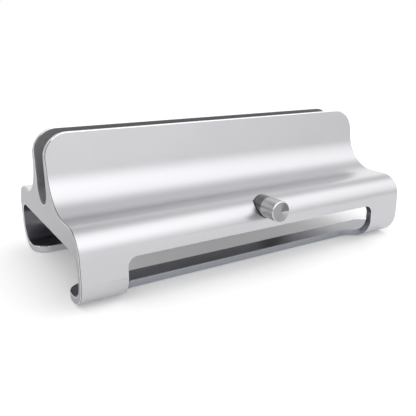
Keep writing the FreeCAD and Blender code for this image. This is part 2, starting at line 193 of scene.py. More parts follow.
def blasted_aluminium():
    """Clear anodised aluminium: fine even beads, a faint cloud in tone and traces of the die's lines."""
    finish = Finish("blasted_aluminium", Metallic=1.0)
    beads = finish.noise(0.22 * MM, 3.0)
    cloud = finish.noise(28.0 * MM, 3.0)
    die_lines = finish.noise(1.0, 2.0, finish.stretched((2.0, 900.0, 900.0)))
    tone = finish.mix(cloud, (0.525, 0.523, 0.542), (0.555, 0.553, 0.572))
    finish.set(Base_Color=finish.mix(beads * 0.30, tone, (0.46, 0.46, 0.48)))
    finish.set(Roughness=0.22 + cloud * 0.05 + beads * 0.08 + die_lines * 0.03)
    finish.bump(beads + die_lines * 0.25, 0.010 * MM, 0.6)
    return finish.material


def rubbed_edge():
    """The same metal where the hand tool has broken an edge: smoother, and brighter as a painted highlight.
    """
    finish = Finish("rubbed_edge", Metallic=1.0)
    strokes = finish.noise(0.8 * MM, 2.0)
    finish.set(Base_Color=finish.mix(strokes, (0.80, 0.80, 0.81), (0.90, 0.90, 0.91)))
    finish.set(Roughness=0.20 + strokes * 0.12)
    return finish.material


def sawn_end():
    """The sawn ends, blasted over the saw marks: a faint upright grain, and darker as painted shade."""
    finish = Finish("sawn_end", Metallic=1.0)
    saw = finish.noise(1.0, 3.0, finish.stretched((1.0, 2600.0, 60.0)))
    beads = finish.noise(0.25 * MM, 3.0)
    finish.set(Base_Color=finish.mix(saw, (0.350, 0.350, 0.365), (0.395, 0.395, 0.410)))
    finish.set(Roughness=0.30 + saw * 0.06 + beads * 0.10)
    finish.bump(beads + saw * 0.5, 0.010 * MM, 0.6)
    return finish.material


def unblasted_shaded():
    """The inside of the legs, where no beads reach: the die's long lines, and darker as painted shade."""
    finish = Finish("unblasted_aluminium", Metallic=1.0)
    die_lines = finish.noise(1.0, 3.0, finish.stretched((3.0, 700.0, 700.0)))
    cloud = finish.noise(18.0 * MM, 3.0)
    finish.set(Base_Color=finish.mix(die_lines, (0.23, 0.23, 0.25), (0.26, 0.26, 0.28)))
    finish.set(Roughness=0.27 + die_lines * 0.03 + cloud * 0.02)
    return finish.material


def milled_window():
    """The cut faces of the windows and the rim of the knob's seat, milled after blasting: cooler, with fine
    cutter marks, and darker as painted shade in these cuts and recesses."""
    finish = Finish("milled_window", Metallic=1.0)
    marks = finish.noise(1.0, 2.0, finish.stretched((1500.0, 1500.0, 120.0)))
    finish.set(Base_Color=finish.mix(marks, (0.34, 0.35, 0.39), (0.40, 0.41, 0.45)))
    finish.set(Roughness=0.20 + marks * 0.10)
    finish.bump(marks, 0.006 * MM, 0.5)
    return finish.material


def shaded_edge():
    """The inner half of a broken edge on the outline of the ends: a dark line of painted shade."""
    finish = Finish("shaded_edge", Metallic=1.0)
    strokes = finish.noise(2.5 * MM, 2.0)
    finish.set(Base_Color=finish.mix(strokes, (0.07, 0.07, 0.08), (0.14, 0.14, 0.15)))
    finish.set(Roughness=0.30 + strokes * 0.10)
    return finish.material


def rounded(corners, step=ARC_STEP):
    """The points of a closed outline whose corners (a, b, radius) are rounded by tangent arcs."""
    points = []
    for index, (a, b, radius) in enumerate(corners):
        here = Vector((a, b))
        if not radius:
            points.append(here)
            continue
        back = (Vector(corners[index - 1][:2]) - here).normalized()
        ahead = (Vector(corners[(index + 1) % len(corners)][:2]) - here).normalized()
        half_angle = back.angle(ahead) / 2
        centre = here + (back + ahead).normalized() * radius / math.sin(half_angle)
        spoke = here + back * radius / math.tan(half_angle) - centre
        turn = math.copysign(math.pi - 2 * half_angle, ahead.cross(back))
        count = max(2, math.ceil(abs(turn) / step))
        points += [centre + Matrix.Rotation(turn * k / count, 2) @ spoke for k in range(count + 1)]
    return [p for i, p in enumerate(points) if (p - points[i - 1]).length > NO_LENGTH]


def rectangle(low_a, high_a, low_b, high_b, radius=0.0):
    places = [(low_a, low_b), (high_a, low_b), (high_a, high_b), (low_a, high_b)]
    return [(a, b, radius) for a, b in places]


def new_piece(name, mesh):
    piece = bpy.data.objects.new(name, mesh)
    bpy.context.scene.collection.objects.link(piece)
    return piece


def settle(piece):
    """Makes what the modifiers give the piece's own mesh, and removes them."""
    bpy.context.view_layer.update()
    evaluated = piece.evaluated_get(bpy.context.evaluated_depsgraph_get())
    settled = bpy.data.meshes.new_from_object(evaluated)
    piece.modifiers.clear()
    piece.data = settled
    return piece


def geometry_graph(name, inputs, output):
    """A new tree of geometry nodes, with its named inputs, given as {name: kind}, and its one output."""
    tree = bpy.data.node_groups.new(name, "GeometryNodeTree")
    for label, kind in inputs.items():
        tree.interface.new_socket(label, in_out="INPUT", socket_type=f"NodeSocket{kind}")
    tree.interface.new_socket(output, in_out="OUTPUT", socket_type="NodeSocketGeometry")
    graph = Graph(tree)
    given = tree.nodes.new("NodeGroupInput")
    return graph, [Socket(graph, given.outputs[i]) for i in range(len(inputs))]


def end_graph(graph, geometry, material):
    """Makes the instances real, sets the material and sends the result to the tree's output."""
    real = graph.node("GeometryNodeRealizeInstances", {}, {"Geometry": geometry})
    dressed = graph.node("GeometryNodeSetMaterial", {}, {"Geometry": real, "Material": material})
    graph.node("NodeGroupOutput", {}, {0: dressed})
    return graph.tree


def pulled_section_tree():
    """Geometry nodes that pull a flat outline into a closed bar."""
    inputs = {"Section": "Geometry", "Pull": "Vector", "Material": "Material"}
    graph, (section, pull, material) = geometry_graph("pulled_section", inputs, "Bar")
    pulled = {"Mesh": section, "Offset": pull, "Individual": False}
    sides = graph.node("GeometryNodeExtrudeMesh", {}, pulled)
    base = graph.node("GeometryNodeFlipFaces", {}, {"Mesh": section})
    shell = graph.node("GeometryNodeJoinGeometry", {}, {"Geometry": [sides, base]})
    closed = graph.node("GeometryNodeMergeByDistance", {}, {"Geometry": shell, "Distance": SAME_PLACE})
    return end_graph(graph, closed, material)


def add_nodes(piece, tree, **values):
    """Adds a geometry nodes modifier, with its inputs given by their names."""
    modifier = piece.modifiers.new(tree.name, "NODES")
    modifier.node_group = tree
    for item in tree.interface.items_tree:
        if item.in_out == "INPUT" and item.name in values:
            modifier[item.identifier] = values[item.name]
    return modifier


pulled_section = pulled_section_tree()

PLANES = {
    "XY": (lambda a, b, depth: (a, b, depth), Vector((0, 0, 1))),
    "XZ": (lambda a, b, depth: (a, depth, b), Vector((0, 1, 0))),
    "YZ": (lambda a, b, depth: (depth, a, b), Vector((1, 0, 0))),
}


def prism(name, plane, outline, start, stop, material=None):
    """A bar with the given outline, from start to stop across the named plane."""
    lay, along = PLANES[plane]
    flat = bmesh.new()
    flat.faces.new([flat.verts.new(lay(point.x, point.y, start)) for point in outline])
    mesh = bpy.data.meshes.new(name)
    flat.to_mesh(mesh)
    flat.free()
    piece = new_piece(name, mesh)
    add_nodes(piece, pulled_section, Pull=along * (stop - start), Material=material)
    settle(piece)
    face_outwards(piece)
    return piece


def face_outwards(piece):
    shell = bmesh.new()
    shell.from_mesh(piece.data)
    bmesh.ops.recalc_face_normals(shell, faces=shell.faces)
    shell.to_mesh(piece.data)
    shell.free()


def circle(a, b, radius, sides=ROUND):
    """The points of a circle, or of a regular figure with few sides."""
    turns = [math.tau * k / sides for k in range(sides)]
    return [Vector((a + radius * math.cos(t), b + radius * math.sin(t))) for t in turns]


def round_bar(name, radius, y_start, y_stop, x, z):
    return prism(name, "XZ", circle(x, z, radius), y_start, y_stop)


def box_bar(name, low, high):
    return prism(name, "XY", rounded(rectangle(low[0], high[0], low[1], high[1])), low[2], high[2])


def carve(piece, cutters, operation="DIFFERENCE"):
    """Cuts away a list of pieces, or keeps only what one piece covers, and then removes them."""
    tray = bpy.data.collections.new("tray")
    for cutter in cutters:
        tray.objects.link(cutter)
    modifier = piece.modifiers.new("carve", "BOOLEAN")
    modifier.operation = operation
    modifier.operand_type = "COLLECTION"
    modifier.collection = tray
    modifier.solver = "EXACT"
    settle(piece)
    for cutter in cutters:
        bpy.data.objects.remove(cutter)
    bpy.data.collections.remove(tray)
    return piece


def weigh_edges(piece, share):
    """Closes the slivers that cuts leave, and gives each real edge its share of the full width, or leaves
    it sharp."""
    shell = bmesh.new()
    shell.from_mesh(piece.data)
    bmesh.ops.remove_doubles(shell, verts=shell.verts, dist=SLIVER)
    bmesh.ops.dissolve_degenerate(shell, edges=shell.edges, dist=SLIVER)
    weights = shell.edges.layers.float.new("bevel_weight_edge")
    for edge in shell.edges:
        if edge.is_manifold and edge.calc_face_angle() > SHARP:
            edge[weights] = share((edge.verts[0].co + edge.verts[1].co) / 2)
            edge.smooth = edge[weights] > 0
    shell.to_mesh(piece.data)
    shell.free()


def coat(piece, *finishes):
    piece.data.materials.clear()
    for finish in finishes:
        piece.data.materials.append(finish)


def finish_off(piece, body, nodes, edge, finish=None, rubbed=False, share=None):
    """Breaks every real edge, gives the piece its finish, and ties it to its body and nodes."""
    if finish:
        coat(piece, finish)
    if share:
        weigh_edges(piece, share)
    for face in piece.data.polygons:
        face.use_smooth = True
    bevel = piece.modifiers.new("edge", "BEVEL")
    bevel.use_clamp_overlap = not share
    bevel.width = edge
    bevel.segments = 2
    bevel.limit_method = "WEIGHT" if share else "ANGLE"
    bevel.angle_limit = SHARP
    bevel.miter_outer = "MITER_ARC"
    # the bevel takes the rubbed finish, whose extra brightness is a painted highlight
    bevel.material = RUBBED_HIGHLIGHT if rubbed else -1
    weighted = piece.modifiers.new("shading", "WEIGHTED_NORMAL")
    weighted.mode = "FACE_AREA"
    weighted.keep_sharp = True
    settle(piece)
    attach(piece, body)
    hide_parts(*nodes)
    return piece


def stand_section():
    """Half of the extruded section, then its mirror image."""
    tip_reach = SLOT_REACH + WALL_TIP
    cove_reach = tip_reach + (stand_top - DECK_HEIGHT) * math.tan(WALL_LEAN)
    flange_top = flange_bottom + LEG_WALL
    leg_inside = leg_reach - LEG_WALL
    rear = [
        (SLOT_REACH, SLOT_FLOOR, SLOT_REACH),
        (SLOT_REACH, stand_top, 0.0),
        (tip_reach, stand_top, 0.0),
        (cove_reach, DECK_HEIGHT, COVE_RADIUS),
        (leg_reach, DECK_HEIGHT, SHOULDER_RADIUS),
        (leg_reach, flange_bottom, FOOT_BEND),
        (flange_reach, flange_bottom, 0.0),
        (flange_reach, flange_top, 0.0),
        (leg_inside, flange_top, FOOT_BEND - LEG_WALL),
        (leg_inside, WEB_UNDERSIDE, UNDER_FILLET),
    ]
    return rounded(rear + [(-reach, height, radius) for reach, height, radius in reversed(rear)])


def wall_corner_mask():
    corners = rectangle(-half_length, half_length, -PAST, stand_top)
    corners[2] = (half_length, stand_top, WALL_CORNER)
    corners[3] = (-half_length, stand_top, WALL_CORNER)
    return prism("mask", "XZ", rounded(corners), -leg_reach - PAST, leg_reach + PAST)


def window_cutter(side):
    """The window of one leg: round top corners seen from the front, round rail ends seen from above."""
    half_window = half_length - FOOT_WIDTH
    inner, outer = side * rail_reach, side * (leg_reach + PAST)
    front = rectangle(-half_window, half_window, -PAST, WINDOW_TOP)
    front[2:] = [(a, b, WINDOW_TOP_RADIUS) for a, b, _ in front[2:]]
    above = rectangle(-half_window, half_window, inner, outer)
    above[:2] = [(a, b, WINDOW_PLAN_RADIUS) for a, b, _ in above[:2]]
    cutter = prism("window", "XZ", rounded(front), inner, outer)
    carve(cutter, [prism("rail_ends", "XY", rounded(above), -2 * PAST, WINDOW_TOP + PAST)], "INTERSECT")
    coat(cutter, *stand.data.materials)
    # the window's cut faces take the darker milled finish, painted shade
    for face in cutter.data.polygons:
        face.material_index = MILLED_SHADED
    return cutter


def flange_corner_cutter(side):
    """What is milled off the two inner corners of one foot flange."""
    inner, outer = side * (flange_reach - PAST), side * (flange_reach + FLANGE_CORNER)
    far = flange_reach + 2 * FLANGE_CORNER
    kept = rectangle(-half_length, half_length, side * flange_reach, side * far)
    kept[:2] = [(a, b, FLANGE_CORNER) for a, b, _ in kept[:2]]
    top = flange_bottom + LEG_WALL + EDGE_BREAK
    around = rounded(rectangle(-half_length - PAST, half_length + PAST, inner, outer))
    cutter = prism("corner", "XY", around, -PAST, top)
    return carve(cutter, [prism("kept", "XY", rounded(kept), -2 * PAST, top + PAST)])


def pad_outline(side_x, side_y, clearance):
    low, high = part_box(f"foot_pad_{'front' if side_y < 0 else 'rear'}_{'left' if side_x < 0 else 'right'}")
    radius = (high.y - low.y) / 2 + clearance
    (low_x, low_y), (high_x, high_y) = low.xy, high.xy
    around = (low_x - clearance, high_x + clearance, low_y - clearance, high_y + clearance)
    return rounded(rectangle(*around, radius))


PAD_CLEARANCE = 0.15 * MM
KNOB_SEAT_CLEARANCE = 0.4 * MM
SCREW_BORE = 3.0 * MM
SCREW_END_ROOM = 1.2 * MM
BUSH_RADIUS = 3.5 * MM
BUSH_FLANGE = 1.0 * MM
POCKET_MARGIN = 2.0 * MM
POCKET_HEADROOM = 0.8 * MM
TAB_MARGIN = 1.0 * MM
COVER_SCREW = 1.5 * MM
SIDES = (-1, 1)

knob_low, knob_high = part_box("knob")
bush_low, bush_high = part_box("screw_bush")
end_bush_low, end_bush_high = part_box("end_bush")
cover_low, cover_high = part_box("pocket_cover")
cover_screws_low, cover_screws_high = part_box("cover_screws")
washer_low, washer_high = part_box("clip_washer")
tab_low, tab_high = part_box("jaw_nut")
pad_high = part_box("foot_pad_front_left")[1]
sleeve_low, sleeve_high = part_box("guide_sleeves")
screw_z = (knob_low.z + knob_high.z) / 2
knob_radius = knob_high.x
sleeve_radius = (sleeve_high.z - sleeve_low.z) / 2
guide_x = sleeve_high.x - sleeve_radius
guide_z = sleeve_low.z + sleeve_radius
seat_floor = bush_low.y + BUSH_FLANGE
pocket_half = tab_high.x + POCKET_MARGIN
pocket_top = screw_z + (tab_high.z - tab_low.z) / 2 + POCKET_HEADROOM
pocket_front, pocket_rear = washer_low.y, end_bush_low.y
jaw_travel = next(joint for joint in frame["joints"] if joint["name"] == "jaw_slide")["range_m"][1]
tab_slot_rear = tab_low.y + jaw_travel + TAB_MARGIN
head_radius = (cover_screws_high.y - cover_screws_low.y) / 2
cover_screw_x = cover_screws_high.x - head_radius
cover_middle = (cover_low.y + cover_high.y) / 2


def stand_cuts():
    """Everything that is milled or drilled in the extrusion."""
    pocket_corner = (pocket_half, pocket_rear, pocket_top)
    cuts = [
        round_bar("seat", knob_radius + KNOB_SEAT_CLEARANCE, -leg_reach - PAST, seat_floor, 0, screw_z),
        round_bar("bush", BUSH_RADIUS, seat_floor - MM, bush_high.y, 0, screw_z),
        round_bar("bore", SCREW_BORE, bush_high.y - PAST, end_bush_high.y + SCREW_END_ROOM, 0, screw_z),
        box_bar("pocket", (-pocket_half, pocket_front, WEB_UNDERSIDE - PAST), pocket_corner),
        box_bar("tab_slot", (-pocket_half, -SLOT_REACH, screw_z), (pocket_half, tab_slot_rear, slot_centre)),
    ]
    for side in SIDES:
        sleeve_x = side * guide_x
        around = circle(side * cover_screw_x, cover_middle, COVER_SCREW, SMALL_ROUND)
        cuts += [flange_corner_cutter(side), window_cutter(side)]
        cuts.append(round_bar("socket", sleeve_radius, sleeve_low.y, -SLOT_REACH + MM, sleeve_x, guide_z))
        cuts.append(prism("screw_hole", "XY", around, WEB_UNDERSIDE - PAST, cover_screws_high.z))
        for end in SIDES:
            cuts.append(prism("recess", "XY", pad_outline(end, side, PAD_CLEARANCE), -PAST, pad_high.z))
    return cuts


def stand_edge(place):
    """The ends' outlines and the tops of the walls are rubbed by hand, and the windows' fronts are only
    touched."""
    if abs(place.x) > half_length - FLANGE_CORNER or place.z > stand_top - WALL_CORNER:
        in_recess = place.z < pad_high.z + EDGE_BREAK and abs(place.x) < half_length - EDGE_BREAK
        return 0.0 if in_recess else 1.0
    return WINDOW_EDGE if abs(place.y) > leg_reach - EDGE_BREAK and place.z > FOOT_BEND else 0.0


stand = prism("stand_extrusion", "YZ", stand_section(), -half_length, half_length)
coat(stand, blasted_aluminium(), rubbed_edge(), unblasted_shaded(), sawn_end(), milled_window(), shaded_edge())
carve(stand, [wall_corner_mask()], "INTERSECT")
carve(stand, stand_cuts())
finish_off(stand, "stand", ["stand_body"], EDGE_BREAK, rubbed=True, share=stand_edge)
cavity = Vector((0, 0, WEB_UNDERSIDE / 2))
least, most = SHADED_FACING
for face in stand.data.polygons:
    if face.material_index == RUBBED_HIGHLIGHT:
        from_axis = math.hypot(face.center.x, face.center.z - screw_z)
        # the seat's rim takes the darker milled finish, painted shade in the recess
        if from_axis < knob_radius + MM and face.center.y < seat_floor + MM:
            face.material_index = MILLED_SHADED
        # the inner half of the ends' broken edges gets a dark line of painted shade
        elif abs(face.center.x) > half_length - WALL_CORNER and least < abs(face.normal.x) < most:
            face.material_index = SHADED
    if face.material_index != BLASTED:
        continue
    inwards = cavity - face.center
    inwards.x = 0
    under = flange_bottom + LEG_WALL - EDGE_BREAK < face.center.z < WEB_UNDERSIDE + EDGE_BREAK
    within = abs(face.center.y) < leg_reach - LEG_WALL + EDGE_BREAK
    # the ends take the darker sawn finish, painted shade
    if abs(face.center.x) > half_length - EDGE_BREAK and abs(face.normal.x) > END_FACING:
        face.material_index = SAWN_SHADED
    # the inside of the legs takes the darker unblasted finish, painted shade under the stand
    elif under and within and face.normal.dot(inwards) > MM:
        face.material_index = UNBLASTED_SHADED

# --- Liners in the slot --------------------------------------------------------------------------
# Two strips of dark grey silicone, glued in the slot: a flat one that covers the rear wall's face,
# and a moulded trough on the round floor. The front lip of the trough stops below the moving jaw.

LINER_EDGE = 0.3 * MM
LINER_CORNER = WALL_CORNER - 0.4 * MM
LIP_GAP = 0.6 * MM
PAD_MARGIN = 1.0 * MM
HALF_TURN_STEPS = 60

rear_liner_low, rear_liner_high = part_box("rear_grip_liner")
trough_low, trough_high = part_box("slot_floor_liner")
liner_thickness = rear_liner_high.y - rear_liner_low.y
jaw_plate_low, jaw_plate_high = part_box("jaw_plate")
jaw_pad_low, jaw_pad_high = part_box("jaw_grip_pad")
jaw_bottom = jaw_pad_low.z - PAD_MARGIN


def silicone():
    """Soft matt silicone: a fine moulded grain, a little dust in it and a waxy bloom."""
    finish = Finish("grey_silicone")
    grain = finish.noise(0.35 * MM, 2.0)
    dust = finish.noise(1.6 * MM, 4.0)
    bloom = finish.noise(30.0 * MM, 2.0)
    base = finish.mix(bloom, (0.105, 0.105, 0.110), (0.135, 0.135, 0.140))
    specks = (dust > 0.63) * 0.35
    finish.set(Base_Color=finish.mix(specks, base, (0.20, 0.20, 0.20)))
    finish.set(Roughness=0.58 + grain * 0.14 + bloom * 0.06)
    finish.bump(grain + dust * 0.3, 0.03 * MM, 0.7)
    return finish.material


grip_silicone = silicone()

corners = rectangle(rear_liner_low.x, rear_liner_high.x, rear_liner_low.z, rear_liner_high.z)
corners[2:] = [(x, z, LINER_CORNER) for x, z, _ in corners[2:]]
rear_liner = prism("rear_wall_liner", "XZ", rounded(corners), rear_liner_low.y, rear_liner_high.y)
finish_off(rear_liner, "stand", ["rear_grip_liner"], LINER_EDGE, grip_silicone)

outer_radius = trough_high.y
inner_radius = outer_radius - liner_thickness
half_turn = [math.pi + math.pi * k / HALF_TURN_STEPS for k in range(HALF_TURN_STEPS + 1)]
spokes = [Vector((math.cos(t), math.sin(t))) for t in half_turn]
middle = Vector((0, slot_centre))
outside = [middle + spoke * outer_radius for spoke in spokes]
inside = [middle + spoke * inner_radius for spoke in spokes]
trough = prism("slot_floor_trough", "YZ", outside + inside[::-1], trough_low.x, trough_high.x)
lip_low = (-half_length - PAST, -SLOT_REACH - PAST, jaw_bottom - LIP_GAP)
front_lip = box_bar("front_lip", lip_low, (half_length + PAST, 0, stand_top))
tab_gap = box_bar("tab_gap", (-pocket_half, -SLOT_REACH - PAST, 0), (pocket_half, tab_slot_rear, stand_top))
carve(trough, [front_lip, tab_gap])
finish_off(trough, "stand", ["slot_floor_liner"], LINER_EDGE, grip_silicone)

# --- Foot pads -----------------------------------------------------------------------------------
# Four oblong pads of black rubber, die-cut and glued in shallow recesses under the flanges. They
# keep the metal just off the desk.

PAD_EDGE = 0.3 * MM


def placed_copies_tree():
    """Geometry nodes that put one piece at every given point."""
    inputs = {"Places": "Geometry", "Piece": "Object", "Material": "Material"}
    graph, (places, piece, material) = geometry_graph("placed_copies", inputs, "Copies")
    single = graph.node("GeometryNodeObjectInfo", {}, {"Object": piece}, "Geometry")
    put = graph.node("GeometryNodeInstanceOnPoints", {}, {"Points": places, "Instance": single})
    return end_graph(graph, put, material)


placed_copies = placed_copies_tree()


def copies(name, single, places, material):
    """Puts one piece, which is modelled at the origin, at each place, and makes all of them one mesh."""
    mesh = bpy.data.meshes.new(name)
    mesh.from_pydata(places, [], [])
    piece = new_piece(name, mesh)
    add_nodes(piece, placed_copies, Piece=single, Material=material)
    settle(piece)
    bpy.data.objects.remove(single)
    return piece


def foot_rubber():
    """Dense black rubber with a ground, slightly greyed face."""
    finish = Finish("foot_rubber")
    grain = finish.noise(0.5 * MM, 3.0)
    wear = finish.noise(9.0 * MM, 3.0)
    finish.set(Base_Color=finish.mix(wear, (0.020, 0.020, 0.021), (0.045, 0.045, 0.046)))
    finish.set(Roughness=0.70 + grain * 0.18)
    finish.bump(grain, 0.04 * MM, 0.8)
    return finish.material


rear_pad_low, rear_pad_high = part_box("foot_pad_rear_right")
pad_middle = (rear_pad_low + rear_pad_high) / 2
half_pad = (rear_pad_high - rear_pad_low) / 2
single_pad = rectangle(-half_pad.x, half_pad.x, -half_pad.y, half_pad.y, half_pad.y)
pad = prism("pad", "XY", rounded(single_pad), rear_pad_low.z, rear_pad_high.z)
black_rubber = foot_rubber()
pad_places = [(x * pad_middle.x, y * pad_middle.y, 0) for x in SIDES for y in SIDES]
pads = copies("foot_pads", pad, pad_places, black_rubber)
pad_nodes = [f"foot_pad_{end}_{side}" for end in ("front", "rear") for side in ("left", "right")]
finish_off(pads, "stand", pad_nodes, PAD_EDGE, black_rubber)

# --- Bushes, washers and guide sleeves -----------------------------------------------------------
# Turned and moulded rings of nylon, pressed in the extrusion: the flanged bush and thrust washer
# behind the knob, black as painted shade in the seat, the end bush of the screw, and the jaw pins' two
# sleeves.

SMALL_EDGE = 0.15 * MM
THRUST_EDGE = 0.05 * MM


def turned(name, plane, centre, profile, facets=ROUND):
    """A piece turned about an axis. The profile's corners are (place along the axis, radius, rounding)."""
    lay = PLANES[plane][0]
    shape = bmesh.new()
    rings = []
    for along, radius in rounded(profile):
        outline = circle(*centre, radius, facets if radius > NO_LENGTH else 1)
        rings.append([shape.verts.new(lay(*point, along)) for point in outline])
    for first, second in zip(rings, rings[1:] + rings[:1]):
        if len(first) == len(second) == 1:
            continue
        for k in range(facets):
            ahead = (k + 1) % facets
            around = [first[k % len(first)], first[ahead % len(first)]]
            around += [second[ahead % len(second)], second[k % len(second)]]
            shape.faces.new(dict.fromkeys(around))
    mesh = bpy.data.meshes.new(name)
    bmesh.ops.recalc_face_normals(shape, faces=shape.faces)
    shape.to_mesh(mesh)
    shape.free()
    return new_piece(name, mesh)


def ring(outer, inner, start, stop):
    """The profile of a plain ring."""
    return [(start, inner, 0.0), (start, outer, 0.0), (stop, outer, 0.0), (stop, inner, 0.0)]


def turned_nylon(name, first, second):
    """Nylon: waxy, with faint turning marks round the axis."""
    finish = Finish(name, Subsurface_Weight=0.15, Subsurface_Scale=0.6 * MM)
    cloud = finish.noise(3.0 * MM)
    marks = finish.noise(1.0, 2.0, finish.stretched((60.0, 5000.0, 60.0)))
    finish.set(Base_Color=finish.mix(cloud, first, second))
    finish.set(Roughness=0.38 + marks * 0.15)
    finish.bump(marks, 0.01 * MM, 0.5)
    return finish.material


nylon = turned_nylon("natural_nylon", (0.60, 0.58, 0.53), (0.68, 0.66, 0.61))
# black, as painted shade in the knob's seat
black_nylon = turned_nylon("black_nylon", (0.012, 0.012, 0.013), (0.022, 0.022, 0.023))
screw_axis = (0.0, screw_z)
RUNNING_RADIUS = 2.55 * MM
WASHER_HOLE = 2.7 * MM
JOURNAL_BORE = 2.05 * MM
PIN_BORE = 1.3 * MM

flange_radius = bush_high.x
bush_profile = [
    (bush_low.y, RUNNING_RADIUS, 0.0),
    (bush_low.y, flange_radius, 0.0),
    (seat_floor, flange_radius, 0.0),
    (seat_floor, BUSH_RADIUS, 0.0),
    (bush_high.y, BUSH_RADIUS, 0.0),
    (bush_high.y, RUNNING_RADIUS, 0.0),
]
bush = turned("front_bush", "XZ", screw_axis, bush_profile)
finish_off(bush, "stand", ["screw_bush"], SMALL_EDGE, black_nylon)

thrust_low, thrust_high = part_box("thrust_washer")
thrust_profile = ring(thrust_high.x, WASHER_HOLE, thrust_low.y, thrust_high.y)
thrust = turned("thrust_ring", "XZ", screw_axis, thrust_profile)
finish_off(thrust, "stand", ["thrust_washer"], THRUST_EDGE, black_nylon)

end_profile = ring(end_bush_high.x, JOURNAL_BORE, end_bush_low.y, end_bush_high.y)
end_ring = turned("rear_bush", "XZ", screw_axis, end_profile)
finish_off(end_ring, "stand", ["end_bush"], SMALL_EDGE, nylon)

sleeve_profile = ring(sleeve_radius, PIN_BORE, sleeve_low.y, sleeve_high.y)
sleeve = turned("sleeve", "XZ", (0, guide_z), sleeve_profile, SMALL_ROUND)
sleeves = copies("pin_sleeves", sleeve, [(side * guide_x, 0, 0) for side in SIDES], nylon)
finish_off(sleeves, "stand", ["guide_sleeves"], SMALL_EDGE, nylon)

# --- Jaw -----------------------------------------------------------------------------------------
# The moving side of the slot: a plate of black powder-coated steel, cut by laser, with a tab that
# reaches down to the nut. A silicone pad is glued to its face, and two ground pins are pressed in it.

JAW_EDGE = 0.3 * MM
JAW_CORNER = 12.0 * MM
TAB_FILLET = 2.0 * MM
TAB_HOLE = 3.0 * MM
PIN_RADIUS = 1.25 * MM
NUT_SCREW_X = 6.2 * MM
NUT_SCREW_RADIUS = 1.0 * MM
NUT_SCREW_HEAD = 2.0 * MM
NUT_SCREW_SOCKET = 0.75 * MM
NUT_SCREW_SOCKET_DEPTH = 0.8 * MM
NUT_SCREW_EDGE = 0.08 * MM
PIN_EDGE = 0.25 * MM
NUT_EDGE = 0.3 * MM
HEXAGON = 6


def powder_coat():
    """Black powder coat on steel: a fine orange-peel skin with a low gloss."""
    finish = Finish("black_powder_coat", Specular_IOR_Level=0.45)
    peel = finish.noise(0.9 * MM, 3.0)
    fine = finish.noise(0.25 * MM)
    finish.set(Base_Color=finish.mix(peel, (0.018, 0.018, 0.019), (0.030, 0.030, 0.031)))
    finish.set(Roughness=0.42 + fine * 0.16)
    finish.bump(peel + fine * 0.3, 0.03 * MM, 0.6)
    return finish.material


def nut_screw_blank(x, clearance=0.0):
    """The countersunk shape of one nut screw, which also cuts its hole."""
    front = jaw_plate_low.y
    cone_end = front + NUT_SCREW_HEAD - NUT_SCREW_RADIUS
    stop = screws_high.y + clearance
    profile = [
        (front - clearance, 0.0, 0.0),
        (front - clearance, NUT_SCREW_HEAD, 0.0),
        (front, NUT_SCREW_HEAD, 0.0),
        (cone_end, NUT_SCREW_RADIUS, 0.0),
        (stop, NUT_SCREW_RADIUS, 0.0),
        (stop, 0.0, 0.0),
    ]
    if not clearance:
        profile.pop(1)
    return turned("nut_screw", "XZ", (x, screw_z), profile, SMALL_ROUND)


screws_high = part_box("jaw_nut_screws")[1]
tab_half, tab_bottom = tab_high.x, tab_low.z
jaw_half = jaw_plate_high.x
half_outline = [
    (tab_half, tab_bottom, 0.0),
    (tab_half, jaw_bottom, TAB_FILLET),
    (jaw_half, jaw_bottom, TAB_FILLET),
    (jaw_half, jaw_plate_high.z, JAW_CORNER),
]
jaw_outline = rounded(half_outline + [(-x, z, radius) for x, z, radius in reversed(half_outline)])
jaw = prism("jaw", "XZ", jaw_outline, jaw_plate_low.y, jaw_plate_high.y)
jaw_holes = [round_bar("tab_hole", TAB_HOLE, jaw_plate_low.y - PAST, jaw_plate_high.y + PAST, 0, screw_z)]
jaw_holes += [nut_screw_blank(side * NUT_SCREW_X, MM) for side in SIDES]
for side in SIDES:
    around = circle(side * guide_x, guide_z, PIN_RADIUS, SMALL_ROUND)
    jaw_holes.append(prism("pin_hole", "XZ", around, jaw_plate_low.y - PAST, jaw_plate_high.y + PAST))
carve(jaw, jaw_holes)
black_coat = powder_coat()
finish_off(jaw, "jaw", ["jaw_plate"], JAW_EDGE, black_coat)

corners = rectangle(jaw_pad_low.x, jaw_pad_high.x, jaw_pad_low.z, jaw_pad_high.z, PAD_MARGIN)
corners[2:] = [(x, z, JAW_CORNER - PAD_MARGIN) for x, z, _ in corners[2:]]
jaw_pad = prism("jaw_pad", "XZ", rounded(corners), jaw_pad_low.y, jaw_pad_high.y)
finish_off(jaw_pad, "jaw", ["jaw_grip_pad"], LINER_EDGE, grip_silicone)


def zinc_plate():
    """Steel with a thin bright zinc plate: cool grey, lightly mottled."""
    finish = Finish("zinc_plated_steel", Metallic=1.0)
    mottle = finish.noise(1.2 * MM, 3.0)
    drawn = finish.noise(1.0, 2.0, finish.stretched((4000.0, 90.0, 4000.0)))
    finish.set(Base_Color=finish.mix(mottle, (0.52, 0.54, 0.56), (0.66, 0.67, 0.68)))
    finish.set(Roughness=0.22 + mottle * 0.12 + drawn * 0.08)
    finish.bump(drawn, 0.008 * MM, 0.5)
    return finish.material


def brass():
    """Sawn and milled brass, a little tarnished."""
    finish = Finish("milled_brass", Metallic=1.0)
    tarnish = finish.noise(4.0 * MM, 4.0)
    milling = finish.noise(1.0, 2.0, finish.stretched((200.0, 200.0, 6000.0)))
    finish.set(Base_Color=finish.mix(tarnish, (0.72, 0.52, 0.23), (0.56, 0.40, 0.19)))
    finish.set(Roughness=0.26 + milling * 0.14 + tarnish * 0.10)
    finish.bump(milling, 0.01 * MM, 0.6)
    return finish.material


